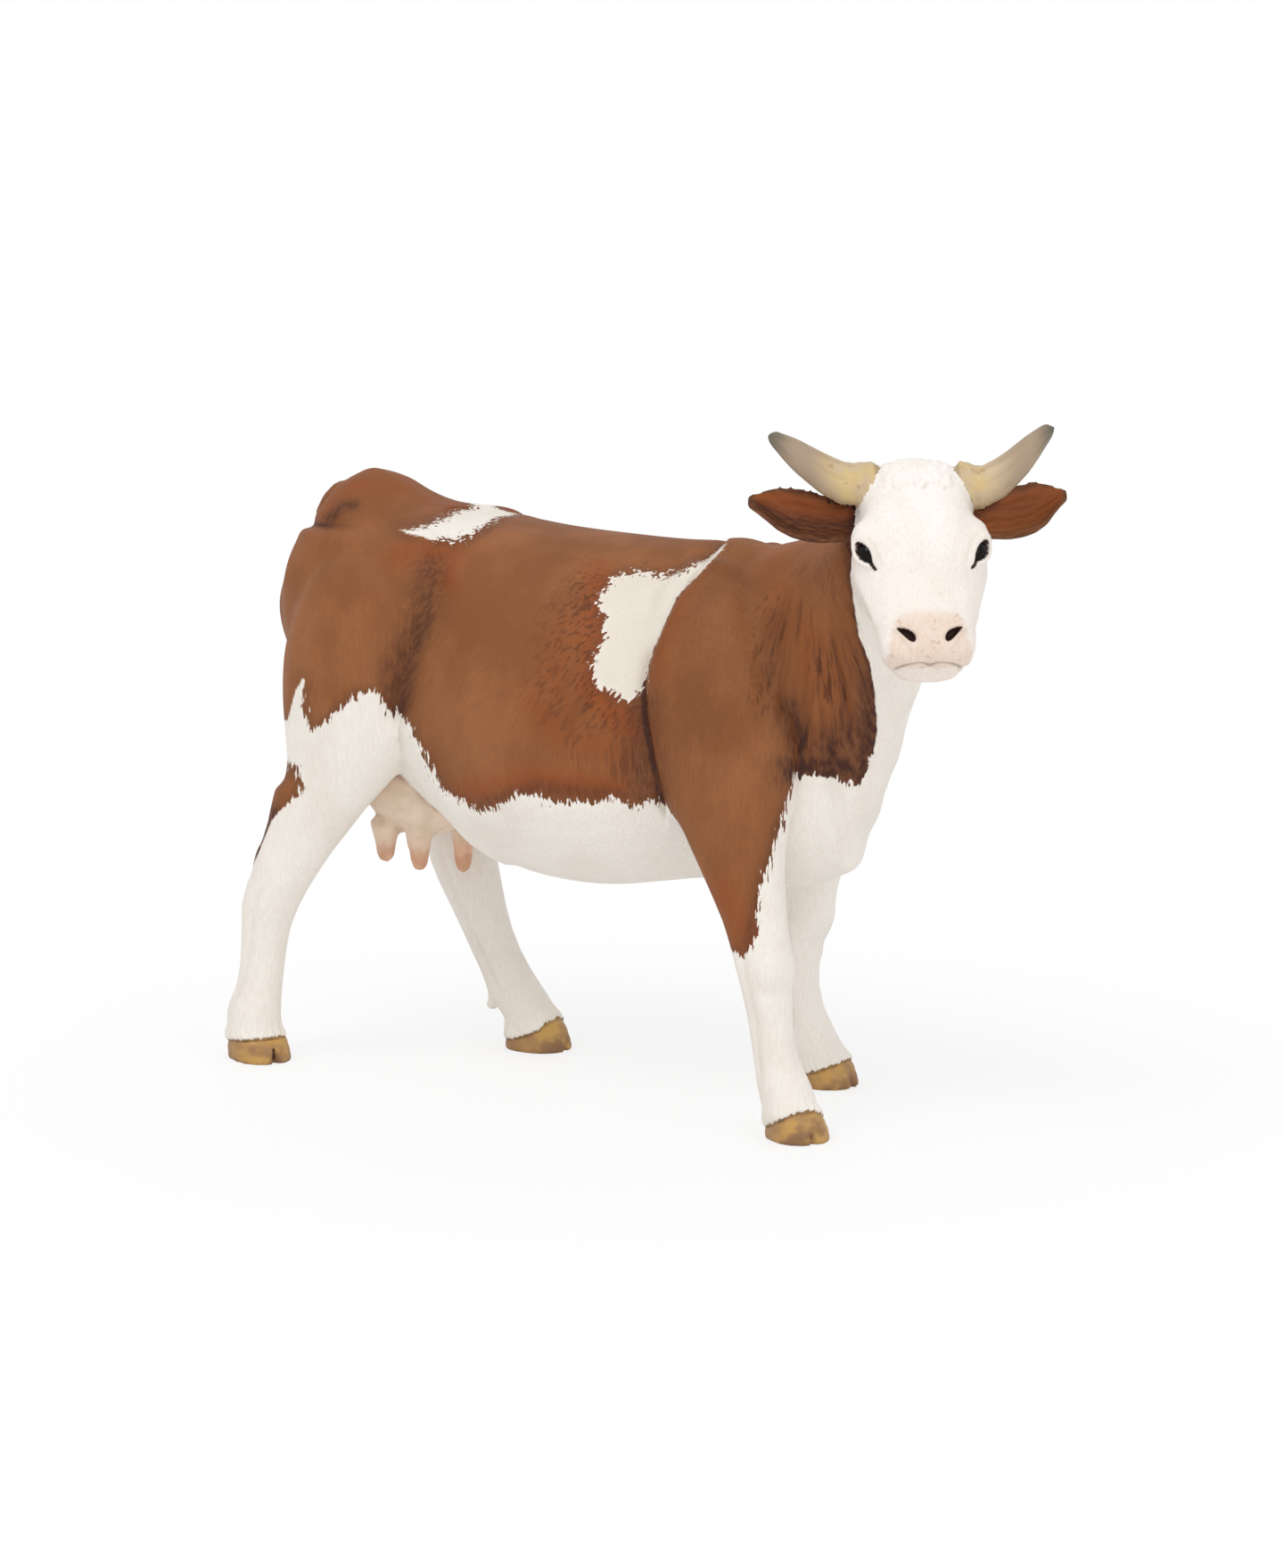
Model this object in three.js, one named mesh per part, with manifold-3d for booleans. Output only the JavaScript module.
// A standing farm cow figure, cast in soft solid plastic and painted by hand.
// X runs from tail to chest, Y to the animal's left, Z up. All lengths are in millimetres.
// The body is one casting. Head, horns, ears, legs, udder and tail are cast apart and glued
// on, each by a peg with a flat that lets it in one way round only.

import * as THREE from "three";
import { mergeVertices } from "three/addons/utils/BufferGeometryUtils.js";
import Module from "manifold-3d";

const wasm = await Module();
wasm.setup();

// Driving sizes of the animal
const BODY_LENGTH = 84.5;
const WITHERS_HEIGHT = 74;
const BARREL_WIDTH = 37;
const CANNON_WIDTH = 5.1;

// Hooves
const HOOF_LENGTH = 8.4;
const HOOF_WIDTH = 7.4;
const HOOF_HEIGHT = 4.2;
const CLEFT_WIDTH = 1.1;
const CLEFT_DEPTH = 1.7;
const DEWCLAW = 1.5;

// Head, turned to the animal's right and bent down
const HEAD_LENGTH = 27;
const HEAD_WIDTH = 17.4;
const HEAD_TURN = THREE.MathUtils.degToRad(-52);
const HEAD_BOW = THREE.MathUtils.degToRad(45);
const EYE = 3.1;
const NOSTRIL = 2.1;
const MOUTH_GAP = 0.5;

// Horns and ears
const HORN_ROOT = 5.4;
const HORN_TIP = 1.5;
const HORN_REACH = { right: 13.2, left: 11.5 };
const HORN_RISE = { right: 7.2, left: 8 };
const HORN_SAG = { right: 0.2, left: 1.3 };
const EAR_LENGTH = { right: 14.6, left: 13.6 };
const EAR_HEIGHT = 8.4;
const EAR_WALL = 1.5;
const EAR_BOWL = 2.2;

// Udder and tail
const UDDER_LENGTH = 17.5;
const UDDER_WIDTH = 15;
const UDDER_DROP = 10.5;
const TEAT_LENGTH = 5.6;
const TEAT_WIDTH = 3;
const TAIL_WIDTH = 3;
const TAIL_TUFT = 4.6;

// Glue joints
const GLUE_GAP = 0.3;
const PEG_WIDTH = 5;
const PEG_LENGTH = 7;
const SMALL_PEG_WIDTH = 2.4;
const SMALL_PEG_LENGTH = 3;
const EAR_PEG_WIDTH = 1.9;
const PEG_FLAT_SHARE = 0.6;

// Fineness of the skin: points round a ring, and rings along a piece
const BODY_POINTS = 32;
const BODY_RINGS = 26;
const NECK_RINGS = 10;
const LEG_POINTS = 16;
const LEG_RINGS = 23;
const BALL_POINTS = 8;
const SMALL_POINTS = 12;
const SMALL_RINGS = 8;
const WELD = 1e-4;

const rumpX = -0.55 * BODY_LENGTH;
const along = (share) => rumpX + share * BODY_LENGTH;
const across = (share) => share * BARREL_WIDTH;
const height = (share) => share * WITHERS_HEIGHT;
const place = ([x, y, z]) => new THREE.Vector3(along(x), across(y), height(z));

// Outline of the trunk: place along the body, top line and bottom line as shares of the
// withers height, half width as a share of the barrel, then the level of the widest point and
// the squareness above and below it
const trunkShares = [
  [0.0, 0.865, 0.705, 0.185, 0.58, 2.0, 2.0],
  [0.035, 0.935, 0.63, 0.27, 0.6, 2.1, 2.0],
  [0.085, 0.975, 0.575, 0.335, 0.62, 2.2, 2.0],
  [0.15, 0.99, 0.535, 0.375, 0.62, 2.4, 2.1],
  [0.22, 0.985, 0.497, 0.4, 0.6, 2.5, 2.1],
  [0.29, 0.982, 0.443, 0.428, 0.56, 2.5, 2.1],
  [0.375, 0.98, 0.392, 0.47, 0.5, 2.3, 2.1],
  [0.47, 0.975, 0.368, 0.5, 0.46, 2.2, 2.1],
  [0.575, 0.975, 0.368, 0.495, 0.45, 2.1, 2.1],
  [0.67, 0.978, 0.386, 0.45, 0.45, 2.0, 2.1],
  [0.75, 0.985, 0.4, 0.39, 0.45, 1.9, 2.1],
  [0.835, 0.985, 0.397, 0.345, 0.45, 1.9, 2.1],
  [0.917, 0.955, 0.403, 0.305, 0.45, 1.9, 2.1],
  [0.98, 0.86, 0.445, 0.215, 0.45, 2.0, 2.0],
];

// Swellings and hollows of the trunk, the same on both sides: place, reach and rise
const trunkReliefShares = [
  { at: [0.1, 0, 1.0], reach: 0.145, rise: 0.13 },
  { at: [0.285, 0.34, 0.93], reach: 0.12, rise: 0.055 },
  { at: [0.04, 0.2, 0.88], reach: 0.1, rise: 0.035 },
  { at: [0.34, 0.42, 0.79], reach: 0.17, rise: -0.05 },
  { at: [0.62, 0.47, 0.52], reach: 0.3, rise: 0.02 },
];

// Rails of the neck: the crest above and the dewlap below, ring by ring
const crestShares = [
  [0.715, 0, 0.935],
  [0.835, 0, 0.985],
  [0.93, -0.02, 1.018],
  [1.015, -0.08, 1.062],
  [1.07, -0.15, 1.1],
  [1.105, -0.2, 1.11],
];
const dewlapShares = [
  [0.715, 0, 0.485],
  [0.935, 0, 0.41],
  [0.995, -0.015, 0.49],
  [1.033, -0.07, 0.61],
  [1.09, -0.135, 0.74],
  [1.12, -0.19, 0.86],
];
// Half width of the neck, and the squareness of its lower side, from the chest to the throat
const neckGirthShares = [
  [0, 0.33, 2.0],
  [0.2, 0.345, 1.9],
  [0.4, 0.29, 1.55],
  [0.6, 0.245, 1.4],
  [0.8, 0.21, 1.45],
  [1, 0.105, 1.7],
];
const neckWidestShare = 0.6;
const neckSquareness = 2;

// Foreleg rings from the shoulder down. Shoulder rows: height, middle along the body (right,
// left), length along the body, middle across, width across
const shoulderShares = [
  [0.965, 0.77, 0.77, 0.07, 0.15, 0.12],
  [0.94, 0.777, 0.775, 0.137, 0.18, 0.225],
  [0.892, 0.787, 0.785, 0.19, 0.208, 0.305],
  [0.811, 0.802, 0.797, 0.23, 0.25, 0.335],
  [0.73, 0.82, 0.81, 0.248, 0.278, 0.34],
  [0.65, 0.835, 0.818, 0.237, 0.304, 0.31],
  [0.575, 0.85, 0.824, 0.204, 0.328, 0.257],
  [0.515, 0.862, 0.825, 0.168, 0.342, 0.219],
];
// Shin rows: height, middle along the body (right, left), middle across, then width across
// and length along (right, left) as shares of the cannon
const foreShinShares = [
  [0.46, 0.877, 0.822, 0.357, 1.37, 2.27, 2.27],
  [0.405, 0.892, 0.81, 0.36, 1.24, 1.88, 1.88],
  [0.352, 0.907, 0.8, 0.365, 1.2, 1.55, 1.55],
  [0.304, 0.918, 0.795, 0.368, 1.31, 1.41, 1.41],
  [0.264, 0.925, 0.79, 0.37, 1.22, 1.26, 1.24],
  [0.203, 0.932, 0.783, 0.372, 0.94, 1.06, 1.0],
  [0.149, 0.94, 0.787, 0.374, 0.94, 1.06, 1.0],
  [0.108, 0.95, 0.796, 0.375, 1.1, 1.2, 1.16],
  [0.076, 0.962, 0.806, 0.378, 1.35, 1.41, 1.41],
  [0.05, 0.973, 0.82, 0.38, 1.3, 1.38, 1.38],
];
const thighShares = [
  [0.918, 0.198, 0.205, 0.13, 0.225, 0.31],
  [0.9, 0.202, 0.21, 0.205, 0.24, 0.35],
  [0.865, 0.205, 0.214, 0.255, 0.252, 0.372],
  [0.815, 0.2, 0.212, 0.275, 0.27, 0.376],
  [0.743, 0.187, 0.205, 0.281, 0.278, 0.366],
  [0.669, 0.176, 0.203, 0.265, 0.284, 0.35],
  [0.601, 0.166, 0.202, 0.234, 0.293, 0.315],
  [0.541, 0.149, 0.192, 0.187, 0.308, 0.258],
];
const hindShinShares = [
  [0.486, 0.122, 0.174, 0.322, 1.53, 2.47, 2.47],
  [0.432, 0.096, 0.172, 0.327, 1.3, 2.06, 2.1],
  [0.385, 0.071, 0.174, 0.33, 1.16, 1.76, 1.85],
  [0.338, 0.044, 0.182, 0.332, 1.2, 1.68, 1.85],
  [0.291, 0.022, 0.195, 0.333, 1.18, 1.52, 1.7],
  [0.236, 0.01, 0.215, 0.333, 1.0, 1.22, 1.45],
  [0.176, 0.004, 0.24, 0.333, 0.94, 1.1, 1.3],
  [0.122, -0.004, 0.269, 0.333, 1.02, 1.2, 1.36],
  [0.081, -0.012, 0.292, 0.333, 1.29, 1.43, 1.5],
  [0.054, -0.012, 0.313, 0.333, 1.3, 1.42, 1.42],
];
const legSquareness = 2.25;

// Where each leg's peg enters the trunk: along, across and up
const shoulderPegShares = [0.81, 0.4, 0.76];
const hipPegShares = [0.185, 0.41, 0.76];

// Head, along its own axis from poll to nose: top line, bottom line and half width as shares
// of the head's width, then the squareness above and below
const headShares = [
  [-0.05, -0.14, -0.5, 0.27, 2.2, 2.0],
  [0.03, 0.02, -0.62, 0.37, 2.5, 2.0],
  [0.13, 0.07, -0.74, 0.4, 2.6, 2.0],
  [0.27, 0.08, -0.86, 0.43, 2.6, 2.0],
  [0.44, 0.04, -0.86, 0.475, 2.5, 2.0],
  [0.57, -0.02, -0.81, 0.45, 2.3, 2.0],
  [0.68, -0.06, -0.73, 0.4, 2.3, 2.1],
  [0.8, -0.085, -0.65, 0.35, 2.4, 2.2],
  [0.89, -0.1, -0.59, 0.345, 2.5, 2.3],
  [0.96, -0.15, -0.55, 0.335, 2.5, 2.3],
];
const headWidestShare = 0.58;
const noseRoundShare = 0.05;
const pollShares = [1.14, -0.22, 1.186];
const eyeShares = [0.475, 0.415, -0.12];
const browShares = [0.375, 0.42, -0.125];
const nostrilShares = [0.915, 0.165, -0.14];
const mouthShares = [0.94, -0.34];

// Horn and ear seats on the head, and the run of each from root to tip
const hornSeatShares = [0.06, 0.3, -0.15];
const hornRunShares = [
  [0, 0, 0],
  [0.01, 0.27, 0.1],
  [-0.035, 0.55, 0.36],
  [-0.075, 0.79, 0.66],
  [-0.1, 1, 1],
];
const hornTaperShares = [1, 0.92, 0.66, 0.4, 0];
const earSeatShares = [0.22, 0.36, -0.35];
const earRunShares = [
  [0, 0, 0],
  [-0.02, 0.35, 0.03],
  [-0.07, 0.7, 0.03],
  [-0.17, 1, 0.01],
];
const earHeightShares = [
  [0, 0.5],
  [0.2, 0.72],
  [0.42, 0.98],
  [0.62, 0.94],
  [0.82, 0.6],
  [0.95, 0.26],
];

// Udder: its middle on the trunk, its rings downward, and its teats
const udderSeatShares = [0.208, 0, 0.545];
const udderShares = [
  [0, 1],
  [0.35, 0.98],
  [0.62, 0.86],
  [0.82, 0.66],
  [0.95, 0.38],
];
const teatReachShare = 0.72;
const teatProfileShares = [
  [0, 0],
  [0.2, 0.04],
  [0.31, 0.16],
  [0.42, 0.55],
  [0.66, 1.1],
  [0, 1.4],
];
// Each teat: along and across the udder, and its share of the teat length
const teatShares = [
  [-0.21, 0.24, 0.95],
  [-0.21, -0.24, 0.86],
  [0.21, 0.24, 1.34],
  [0.09, -0.24, 1],
];

// Tail: from its root in the croup down behind the thighs
const tailShares = [
  [0.125, 0, 0.985],
  [0.07, 0.005, 1.0],
  [0.03, 0.02, 0.965],
  [0.003, 0.045, 0.88],
  [-0.016, 0.078, 0.765],
  [-0.022, 0.1, 0.64],
  [-0.016, 0.119, 0.515],
  [-0.012, 0.135, 0.385],
];
// Girth along the tail: how much of the cord's width and of the tuft's width
const tailGirthShares = [
  [0, 1.15, 0],
  [0.2, 1, 0],
  [0.4, 0.8, 0],
  [0.6, 0.66, 0],
  [0.7, 0.45, 0.25],
  [0.82, 0, 1],
  [0.93, 0, 0.75],
  [1, 0, 0.2],
];

// A cubic that runs through the rows of a table, read at a value of their first column.
function read(table, at) {
  const last = table.length - 1;
  let i = 0;
  while (i < last - 1 && at > table[i + 1][0]) i += 1;
  const [a, b] = [table[i], table[i + 1]];
  const before = table[Math.max(i - 1, 0)];
  const after = table[Math.min(i + 2, last)];
  const span = b[0] - a[0];
  const t = THREE.MathUtils.clamp((at - a[0]) / span, 0, 1);
  return a.map((value, k) => {
    const slopeA = ((b[k] - before[k]) / (b[0] - before[0])) * span;
    const slopeB = ((after[k] - value) / (after[0] - a[0])) * span;
    const s = t * t;
    const c = s * t;
    return (
      (2 * c - 3 * s + 1) * value +
      (c - 2 * s + t) * slopeA +
      (3 * s - 2 * c) * b[k] +
      (c - s) * slopeB
    );
  });
}

// A closed ring in the plane of side and up: a rounded box about a centre, with one height
// above it and another below.
function ring({ centre, side, up, half, over, under, squareOver = 2, squareUnder = 2, points }) {
  const soften = (value, square) => Math.sign(value) * Math.abs(value) ** (2 / square);
  return Array.from({ length: points }, (_, i) => {
    const angle = (2 * Math.PI * i) / points;
    const [c, s] = [Math.cos(angle), Math.sin(angle)];
    const square = s > 0 ? squareOver : squareUnder;
    return centre
      .clone()
      .addScaledVector(side, half * soften(c, square))
      .addScaledVector(up, (s > 0 ? over : under) * soften(s, square));
  });
}

// Moves each point of a ring out from its centre by the swellings near it.
function swell(points, centre, spots) {
  for (const point of points) {
    const out = point.clone().sub(centre).normalize();
    for (const { at, reach, rise } of spots) {
      const mirrored = new THREE.Vector3(point.x, Math.abs(point.y), point.z);
      const near = mirrored.distanceTo(at) / reach;
      point.addScaledVector(out, rise * Math.exp(-2 * near * near));
    }
  }
  return points;
}

// A closed skin over rings of points, with a fan over each end, facing out.
function loft(rings) {
  const points = rings.flat();
  const count = rings[0].length;
  const faces = [];
  for (let r = 0; r < rings.length - 1; r += 1) {
    for (let i = 0; i < count; i += 1) {
      const a = r * count + i;
      const b = r * count + ((i + 1) % count);
      faces.push(a, b, b + count, a, b + count, a + count);
    }
  }
  const middle = (list) =>
    list.reduce((sum, p) => sum.add(p), new THREE.Vector3()).divideScalar(count);
  points.push(middle(rings[0]), middle(rings[rings.length - 1]));
  const [first, end] = [points.length - 2, points.length - 1];
  const lastRing = (rings.length - 1) * count;
  for (let i = 0; i < count; i += 1) {
    const next = (i + 1) % count;
    faces.push(first, next, i, end, lastRing + i, lastRing + next);
  }
  return solidOf(new THREE.BufferGeometry().setFromPoints(points).setIndex(faces));
}

// A three.js geometry as a solid. A skin that came out facing in is turned round.
function solidOf(geometry) {
  const bare = geometry.clone();
  bare.deleteAttribute("normal");
  bare.deleteAttribute("uv");
  const merged = mergeVertices(bare, WELD);
  const vertProperties = merged.attributes.position.array;
  const triVerts = new Uint32Array(merged.index.array);
  const corner = (i) => new THREE.Vector3().fromArray(vertProperties, 3 * triVerts[i]);
  let volume = 0;
  for (let i = 0; i < triVerts.length; i += 3) {
    volume += corner(i).dot(corner(i + 1).cross(corner(i + 2)));
  }
  if (volume < 0) triVerts.reverse();
  return new wasm.Manifold(new wasm.Mesh({ numProp: 3, vertProperties, triVerts }));
}

// The largest body of a solid: a cut that grazes a rounded face can part off a sliver.
function mainBody(solid) {
  return solid.decompose().reduce((a, b) => (b.volume() > a.volume() ? b : a));
}

function geometryOf(solid) {
  const { numProp, vertProperties, triVerts } = mainBody(solid).getMesh();
  const positions = [];
  for (let i = 0; i < vertProperties.length; i += numProp) {
    positions.push(...vertProperties.slice(i, i + 3));
  }
  const geometry = new THREE.BufferGeometry();
  geometry.setAttribute("position", new THREE.Float32BufferAttribute(positions, 3));
  geometry.setIndex([...triVerts]);
  geometry.computeVertexNormals();
  return geometry;
}

// A solid ball drawn out to three half sizes.
function ball(centre, halves) {
  const geometry = new THREE.SphereGeometry(1, BALL_POINTS, BALL_POINTS / 2);
  geometry.scale(...halves).translate(...centre);
  return solidOf(geometry);
}

// A glue peg: a round pin with a flat on one side, run from a start point along a direction.
// The socket for it is the same shape, wider and deeper by the glue gap.
function peg(start, direction, width, length, grow = 0) {
  const radius = width / 2 + grow;
  const flat = PEG_FLAT_SHARE * radius;
  const turn = Math.acos(flat / radius);
  const outline = new THREE.Shape().absarc(0, 0, radius, turn, 2 * Math.PI - turn, false);
  outline.closePath();
  const options = { depth: length + grow, bevelEnabled: false, curveSegments: SMALL_POINTS };
  const geometry = new THREE.ExtrudeGeometry(outline, options);
  const axis = direction.clone().normalize();
  const turnTo = new THREE.Quaternion().setFromUnitVectors(new THREE.Vector3(0, 0, 1), axis);
  geometry.applyQuaternion(turnTo).translate(start.x, start.y, start.z);
  return solidOf(geometry);
}

// Trunk from rump to chest, drawn out by grow where it is the cutter for what is glued on it.
// Its two ends are closed by low domes.
const domeRings = 3;
const domeShare = 0.16;
function trunk(grow) {
  const spots = trunkReliefShares.map(({ at, reach, rise }) => ({
    at: place(at),
    reach: reach * WITHERS_HEIGHT,
    rise: rise * BARREL_WIDTH,
  }));
  const side = new THREE.Vector3(0, 1, 0);
  const up = new THREE.Vector3(0, 0, 1);
  const start = trunkShares[0][0];
  const end = trunkShares[trunkShares.length - 1][0];
  const section = (share, shrink, shift) => {
    const [, top, bottom, half, widest, squareOver, squareUnder] = read(trunkShares, share);
    const tall = height(top - bottom);
    const centre = new THREE.Vector3(along(share) + shift, 0, height(bottom) + widest * tall);
    const points = ring({
      centre,
      side,
      up,
      half: shrink * (across(half) + grow),
      over: shrink * ((1 - widest) * tall + grow),
      under: shrink * (widest * tall + grow),
      squareOver,
      squareUnder,
      points: BODY_POINTS,
    });
    return swell(points, centre, spots);
  };
  const rings = [];
  for (let i = 0; i <= BODY_RINGS; i += 1) {
    const share = THREE.MathUtils.lerp(start, end, i / BODY_RINGS);
    rings.push(section(share, 1, 0));
  }
  for (let i = 1; i <= domeRings; i += 1) {
    const angle = (0.5 * Math.PI * i) / (domeRings + 0.5);
    const depth = Math.sin(angle) * (domeShare * across(trunkShares[0][3]) + grow);
    rings.unshift(section(start, Math.cos(angle), -depth));
    rings.push(section(end, Math.cos(angle), depth));
  }
  return loft(rings);
}

// Neck from inside the chest up to the throat, hung between the crest and the dewlap
function neck(grow) {
  const crest = new THREE.CatmullRomCurve3(crestShares.map(place));
  const dewlap = new THREE.CatmullRomCurve3(dewlapShares.map(place));
  const middleOf = (t) => crest.getPoint(t).lerp(dewlap.getPoint(t), 0.5);
  const rings = [];
  for (let i = 0; i <= NECK_RINGS; i += 1) {
    const t = i / NECK_RINGS;
    const low = dewlap.getPoint(t);
    const up = crest.getPoint(t).sub(low);
    const tall = up.length();
    up.normalize();
    const step = 0.5 / NECK_RINGS;
    const travel = middleOf(Math.min(t + step, 1)).sub(middleOf(Math.max(t - step, 0)));
    const side = up.clone().cross(travel).normalize();
    const [, half, squareUnder] = read(neckGirthShares, t);
    const ahead = i === NECK_RINGS ? grow : 0;
    const centre = low.addScaledVector(up, neckWidestShare * tall);
    centre.addScaledVector(travel.normalize(), ahead);
    rings.push(
      ring({
        centre,
        side,
        up,
        half: across(half) + grow,
        over: (1 - neckWidestShare) * tall + grow,
        under: neckWidestShare * tall + grow,
        squareOver: neckSquareness,
        squareUnder,
        points: BODY_POINTS,
      }),
    );
  }
  return loft(rings);
}

// Cloven hoof: a block that leans forward onto a flat sole, split at the toe
function hoof(toeX, y) {
  const levelShares = [
    [0, 0.97, 0.96, 0],
    [0.12, 1, 1, 0],
    [0.55, 0.93, 0.95, -0.04],
    [0.88, 0.85, 0.93, -0.09],
    [1.15, 0.66, 0.78, -0.12],
  ];
  const rings = levelShares.map(([level, long, wide, back]) => {
    const z = level * HOOF_HEIGHT;
    const centre = new THREE.Vector3(toeX + back * HOOF_LENGTH, y, z);
    return ring({
      centre,
      side: new THREE.Vector3(0, 1, 0),
      up: new THREE.Vector3(1, 0, 0),
      half: (wide * HOOF_WIDTH) / 2,
      over: (long * HOOF_LENGTH) / 2,
      under: (long * HOOF_LENGTH) / 2,
      squareOver: 2.1,
      squareUnder: 2.8,
      points: LEG_POINTS,
    });
  });
  const notch = new THREE.Shape();
  notch.moveTo(HOOF_LENGTH / 2 + CLEFT_WIDTH, CLEFT_WIDTH);
  notch.lineTo(HOOF_LENGTH / 2 - CLEFT_DEPTH, 0);
  notch.lineTo(HOOF_LENGTH / 2 + CLEFT_WIDTH, -CLEFT_WIDTH);
  notch.closePath();
  const cleft = new THREE.ExtrudeGeometry(notch, { depth: 2 * HOOF_HEIGHT, bevelEnabled: false });
  cleft.translate(toeX, y, -HOOF_HEIGHT / 2);
  return { block: loft(rings), cleft: solidOf(cleft) };
}

// One leg: shoulder or thigh, shin, fetlock with its two dewclaws, and hoof
function leg({ upperShares, shinShares, side, column, grow }) {
  const y = side === "left" ? 1 : -1;
  const rows = [
    ...upperShares.map((row) => [
      -height(row[0]),
      along(row[column]),
      row[3] * BODY_LENGTH,
      across(row[4]),
      across(row[5]),
    ]),
    ...shinShares.map((row) => [
      -height(row[0]),
      along(row[column]),
      row[column + 4] * CANNON_WIDTH,
      across(row[3]),
      row[4] * CANNON_WIDTH,
    ]),
  ];
  const rings = [];
  for (let i = 0; i <= LEG_RINGS; i += 1) {
    const down = THREE.MathUtils.lerp(rows[0][0], rows[rows.length - 1][0], i / LEG_RINGS);
    const [, x, long, out, wide] = read(rows, down);
    const lift = i === 0 ? grow : 0;
    rings.push(
      ring({
        centre: new THREE.Vector3(x, y * out, lift - down),
        side: new THREE.Vector3(0, 1, 0),
        up: new THREE.Vector3(1, 0, 0),
        half: wide / 2 + grow,
        over: long / 2 + grow,
        under: long / 2 + grow,
        squareOver: legSquareness,
        squareUnder: legSquareness,
        points: LEG_POINTS,
      }),
    );
  }
  const foot = rows[rows.length - 1];
  const { block, cleft } = hoof(foot[1] + 0.12 * HOOF_LENGTH, y * foot[3]);
  const fetlock = rows[rows.length - 2];
  let solid = loft(rings).add(block).subtract(cleft);
  for (const sign of [-1, 1]) {
    const centre = [
      fetlock[1] - 0.5 * fetlock[2],
      y * fetlock[3] + sign * 0.75 * DEWCLAW,
      -fetlock[0] - 0.2 * DEWCLAW,
    ];
    solid = solid.add(ball(centre, [0.5 * DEWCLAW, 0.45 * DEWCLAW, 0.8 * DEWCLAW]));
  }
  return solid;
}

const foreleg = (side, grow = 0) =>
  leg({
    upperShares: shoulderShares,
    shinShares: foreShinShares,
    side,
    column: side === "left" ? 2 : 1,
    grow,
  });
const hindLeg = (side, grow = 0) =>
  leg({
    upperShares: thighShares,
    shinShares: hindShinShares,
    side,
    column: side === "left" ? 2 : 1,
    grow,
  });

function legPeg(pegShares, side, grow = 0) {
  const y = side === "left" ? 1 : -1;
  const start = place(pegShares);
  start.y *= y;
  return peg(start, new THREE.Vector3(0, -y, 0), PEG_WIDTH, PEG_LENGTH, grow);
}

// Udder: a soft bag with four teats
const udderSeat = place(udderSeatShares);
function udder() {
  const rings = udderShares.map(([level, girth]) =>
    ring({
      centre: new THREE.Vector3(udderSeat.x, 0, udderSeat.z - level * UDDER_DROP),
      side: new THREE.Vector3(0, 1, 0),
      up: new THREE.Vector3(1, 0, 0),
      half: (girth * UDDER_WIDTH) / 2,
      over: (girth * UDDER_LENGTH) / 2,
      under: (girth * UDDER_LENGTH) / 2,
      points: 2 * SMALL_POINTS,
    }),
  );
  let solid = loft(rings);
  for (const [forward, out, long] of teatShares) {
    const profile = teatProfileShares.map(
      ([round, up]) => new THREE.Vector2(round * TEAT_WIDTH, up * long * TEAT_LENGTH),
    );
    const teat = new THREE.LatheGeometry(profile, SMALL_POINTS);
    teat.rotateX(Math.PI / 2);
    const tipZ = udderSeat.z - UDDER_DROP - teatReachShare * long * TEAT_LENGTH;
    teat.translate(udderSeat.x + forward * UDDER_LENGTH, out * UDDER_WIDTH, tipZ);
    solid = solid.add(solidOf(teat));
  }
  return solid;
}
function udderPeg(grow = 0) {
  const start = udderSeat.clone();
  start.z -= 0.3 * UDDER_DROP;
  return peg(start, new THREE.Vector3(0, 0, 1), PEG_WIDTH, PEG_LENGTH + 0.3 * UDDER_DROP, grow);
}

// Tail: a tapering cord that ends in a tuft
function tail(grow) {
  const path = new THREE.CatmullRomCurve3(tailShares.map(place));
  const steps = 2 * SMALL_RINGS;
  const side = new THREE.Vector3(0, 1, 0);
  const rings = [];
  for (let i = 0; i <= steps; i += 1) {
    const t = i / steps;
    const travel = path.getTangent(t);
    const up = travel.clone().cross(side).normalize();
    const [, cord, tuft] = read(tailGirthShares, t);
    const half = (cord * TAIL_WIDTH + tuft * TAIL_TUFT) / 2;
    rings.push(
      ring({
        centre: path.getPoint(t),
        side: travel.clone().cross(up).normalize(),
        up,
        half: half + grow,
        over: half + grow,
        under: half + grow,
        points: SMALL_POINTS,
      }),
    );
  }
  return loft(rings);
}

// Head in its own frame: X from the poll to the nose, Y to its left, Z out of the forehead
const inHead = ([x, y, z]) =>
  new THREE.Vector3(x * HEAD_LENGTH, y * HEAD_WIDTH, z * HEAD_WIDTH);
const headPlacement = new THREE.Object3D();
headPlacement.position.copy(place(pollShares));
headPlacement.rotation.set(0, HEAD_BOW, HEAD_TURN, "ZYX");
headPlacement.updateMatrix();

function headSection(share, shrink, shift, grow) {
  const [, top, bottom, half, squareOver, squareUnder] = read(headShares, share);
  const tall = (top - bottom) * HEAD_WIDTH;
  const centreZ = bottom * HEAD_WIDTH + headWidestShare * tall;
  return ring({
    centre: new THREE.Vector3(share * HEAD_LENGTH + shift, 0, centreZ),
    side: new THREE.Vector3(0, 1, 0),
    up: new THREE.Vector3(0, 0, 1),
    half: shrink * (half * HEAD_WIDTH + grow),
    over: shrink * ((1 - headWidestShare) * tall + grow),
    under: shrink * (headWidestShare * tall + grow),
    squareOver,
    squareUnder,
    points: 2 * SMALL_POINTS,
  });
}

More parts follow.
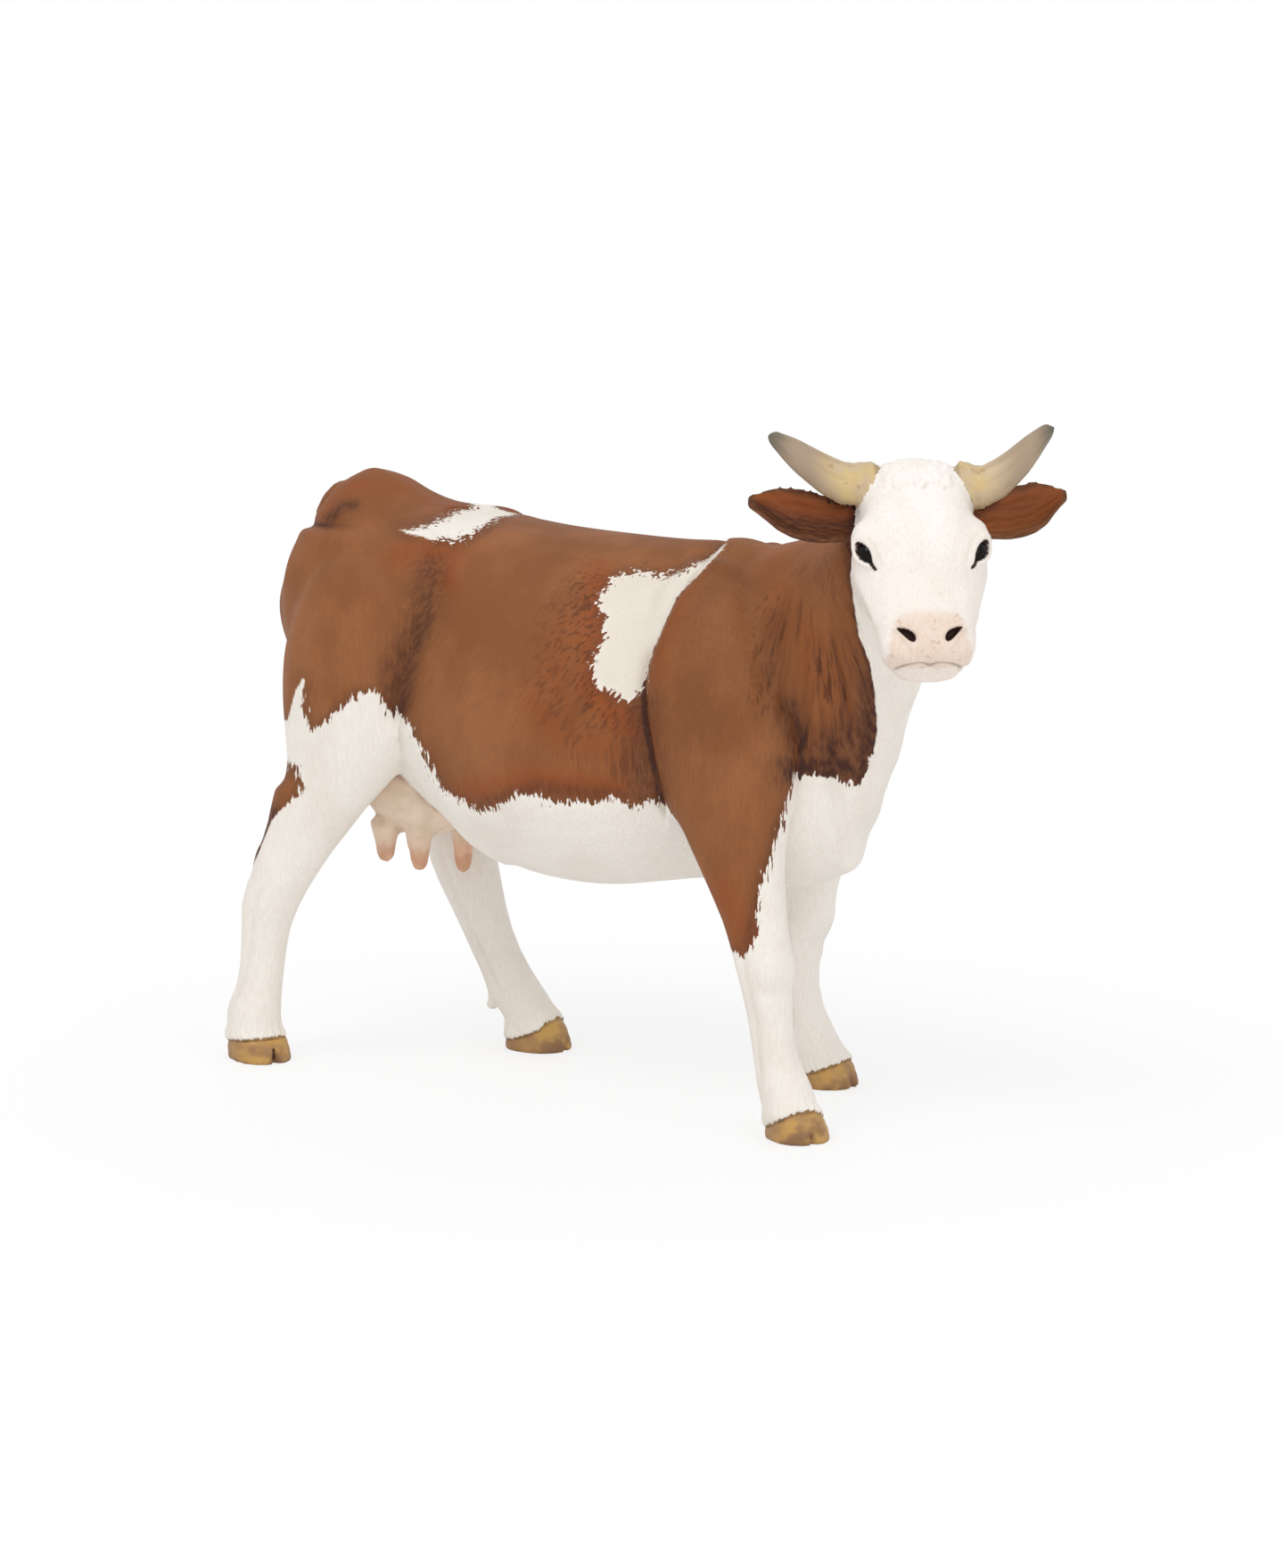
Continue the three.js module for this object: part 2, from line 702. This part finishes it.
function head(grow) {
  const start = headShares[0][0];
  const end = headShares[headShares.length - 1][0];
  const steps = 2 * SMALL_RINGS;
  const rings = [];
  for (let i = 0; i <= steps; i += 1) {
    rings.push(headSection(THREE.MathUtils.lerp(start, end, i / steps), 1, 0, grow));
  }
  const round = noseRoundShare * HEAD_LENGTH + grow;
  for (const angle of [0.32 * Math.PI, 0.44 * Math.PI]) {
    rings.unshift(headSection(start, Math.cos(angle), -Math.sin(angle) * round, grow));
    rings.push(headSection(end, Math.cos(angle) ** 0.5, Math.sin(angle) * round, grow));
  }
  let solid = loft(rings);
  for (const sign of [-1, 1]) {
    const mirror = ([x, y, z]) => inHead([x, sign * y, z]).toArray();
    const brow = [0.85 * EYE + grow, 0.42 * EYE + grow, 0.58 * EYE + grow];
    solid = solid.add(ball(mirror(browShares), brow));
    if (grow > 0) continue;
    solid = solid.add(ball(mirror(eyeShares), [0.58 * EYE, 0.4 * EYE, 0.47 * EYE]));
    const pit = [0.5 * NOSTRIL, 0.42 * NOSTRIL, 0.4 * NOSTRIL];
    solid = solid.subtract(ball(mirror(nostrilShares), pit));
  }
  if (grow > 0) return solid;
  const [mouthFrom, mouthLevel] = mouthShares;
  const slit = new THREE.BoxGeometry(0.3 * HEAD_LENGTH, HEAD_WIDTH, MOUTH_GAP);
  slit.translate((mouthFrom + 0.15) * HEAD_LENGTH, 0, mouthLevel * HEAD_WIDTH);
  return solid.subtract(solidOf(slit));
}

// Horn: a round taper that sweeps out and curls up to a blunt tip
function horn(side, grow = 0) {
  const y = side === "left" ? 1 : -1;
  const seat = inHead(hornSeatShares);
  const run = new THREE.CatmullRomCurve3(
    hornRunShares.map(([x, out, up]) => {
      const sag = Math.SQRT1_2 * HORN_SAG[side] * Math.sin(Math.PI * out);
      return new THREE.Vector3(
        seat.x + x * HEAD_LENGTH + sag,
        y * (seat.y + out * HORN_REACH[side]),
        seat.z + up * HORN_RISE[side] - sag,
      );
    }),
  );
  const taper = hornTaperShares.map((share, i) => [i / (hornTaperShares.length - 1), share]);
  const forward = new THREE.Vector3(1, 0, 0);
  const rings = [];
  for (let i = 0; i <= SMALL_RINGS; i += 1) {
    const t = i / SMALL_RINGS;
    const travel = run.getTangent(t);
    const up = travel.clone().cross(forward).normalize();
    const [, share] = read(taper, t);
    const half = THREE.MathUtils.lerp(HORN_TIP, HORN_ROOT, share) / 2 + grow;
    rings.push(
      ring({
        centre: run.getPoint(t),
        side: travel.clone().cross(up).normalize(),
        up,
        half,
        over: half,
        under: half,
        points: SMALL_POINTS,
      }),
    );
  }
  return loft(rings);
}
function hornPeg(side, grow = 0) {
  const y = side === "left" ? 1 : -1;
  const start = inHead(hornSeatShares);
  start.y = y * (start.y + 0.5 * SMALL_PEG_LENGTH);
  const direction = new THREE.Vector3(0, -y, 0);
  return peg(start, direction, SMALL_PEG_WIDTH, 1.5 * SMALL_PEG_LENGTH, grow);
}

// Ear: a leaf with a hollow face, thin at the rim
function ear(side, grow = 0) {
  const y = side === "left" ? 1 : -1;
  const seat = inHead(earSeatShares);
  const run = new THREE.CatmullRomCurve3(
    earRunShares.map(
      ([x, out, up]) =>
        new THREE.Vector3(
          seat.x + x * HEAD_LENGTH,
          y * (seat.y + out * EAR_LENGTH[side]),
          seat.z + up * HEAD_WIDTH,
        ),
    ),
  );
  const rings = [];
  for (let i = 0; i <= SMALL_RINGS; i += 1) {
    const t = (0.97 * i) / SMALL_RINGS;
    const [, tall] = read(earHeightShares, t);
    const half = (tall * EAR_HEIGHT) / 2 + grow;
    const bowl = EAR_BOWL * Math.sin(Math.PI * t) ** 0.6;
    const centre = run.getPoint(t);
    rings.push(
      Array.from({ length: SMALL_POINTS }, (_, k) => {
        const angle = (2 * Math.PI * k) / SMALL_POINTS;
        const c = Math.cos(angle);
        const lift = bowl * (c * c - 0.5);
        return new THREE.Vector3(
          centre.x + half * c,
          centre.y,
          centre.z + lift + (EAR_WALL / 2 + grow) * Math.sin(angle),
        );
      }),
    );
  }
  return loft(rings);
}
function earPeg(side, grow = 0) {
  const y = side === "left" ? 1 : -1;
  const start = inHead(earSeatShares);
  start.y = y * (start.y + 0.6 * SMALL_PEG_LENGTH);
  start.z -= 0.3 * EAR_BOWL;
  const direction = new THREE.Vector3(0, -y, 0);
  return peg(start, direction, EAR_PEG_WIDTH, SMALL_PEG_LENGTH, grow);
}

// Paint and plastic
const paint = (color, roughness) => new THREE.MeshStandardMaterial({ color, roughness });
const brownCoat = paint(0x945c3a, 0.6);
const whiteCoat = paint(0xf0ebe4, 0.6);
const hornPaint = paint(0xc8b48c, 0.45);
const udderPaint = paint(0xdcc3af, 0.55);

const figure = new THREE.Group();
const headGroup = new THREE.Group();
headGroup.position.copy(headPlacement.position);
headGroup.quaternion.copy(headPlacement.quaternion);
figure.add(headGroup);

function addPiece(group, name, solid, material) {
  const mesh = new THREE.Mesh(geometryOf(solid), material);
  mesh.name = name;
  group.add(mesh);
}

// The trunk and neck, with a socket for each peg
const wideTrunk = trunk(GLUE_GAP).add(neck(GLUE_GAP));
let body = trunk(0).add(neck(0));
body = body.subtract(udderPeg(GLUE_GAP)).subtract(tail(GLUE_GAP));
for (const side of ["left", "right"]) {
  body = body.subtract(legPeg(shoulderPegShares, side, GLUE_GAP));
  body = body.subtract(legPeg(hipPegShares, side, GLUE_GAP));
}
addPiece(figure, "body", body, brownCoat);

// The legs follow the trunk's side at the glue gap
const wideHindLegs = { left: hindLeg("left", GLUE_GAP), right: hindLeg("right", GLUE_GAP) };
for (const side of ["right", "left"]) {
  const fore = foreleg(side).subtract(wideTrunk).add(legPeg(shoulderPegShares, side));
  addPiece(figure, `foreleg_${side}`, fore, side === "right" ? brownCoat : whiteCoat);
  const hind = hindLeg(side).subtract(wideTrunk).add(legPeg(hipPegShares, side));
  addPiece(figure, `hind_leg_${side}`, hind, whiteCoat);
}

const bag = udder()
  .subtract(wideTrunk)
  .subtract(wideHindLegs.left)
  .subtract(wideHindLegs.right)
  .add(udderPeg());
addPiece(figure, "udder", bag, udderPaint);
addPiece(figure, "tail", tail(0), brownCoat);

// The head seats on the end of the neck, and carries the horns and ears
const toHead = headPlacement.matrix.clone().invert();
const wideHead = head(GLUE_GAP);
const neckEnd = neck(GLUE_GAP).transform(toHead.elements);
let skull = head(0).subtract(neckEnd);
for (const side of ["right", "left"]) {
  skull = skull.subtract(hornPeg(side, GLUE_GAP)).subtract(earPeg(side, GLUE_GAP));
  const hornSolid = horn(side).subtract(wideHead).add(hornPeg(side));
  addPiece(headGroup, `horn_${side}`, hornSolid, hornPaint);
  const earSolid = ear(side).subtract(horn(side, GLUE_GAP)).subtract(wideHead);
  addPiece(headGroup, `ear_${side}`, earSolid.subtract(neckEnd).add(earPeg(side)), brownCoat);
}
addPiece(headGroup, "head", skull, whiteCoat);

// The middle of the footprint is the origin, and the soles stand on Z = 0
const box = new THREE.Box3().setFromObject(figure, true);
const middle = box.getCenter(new THREE.Vector3());
figure.position.set(-middle.x, -middle.y, -box.min.z);

export default figure;
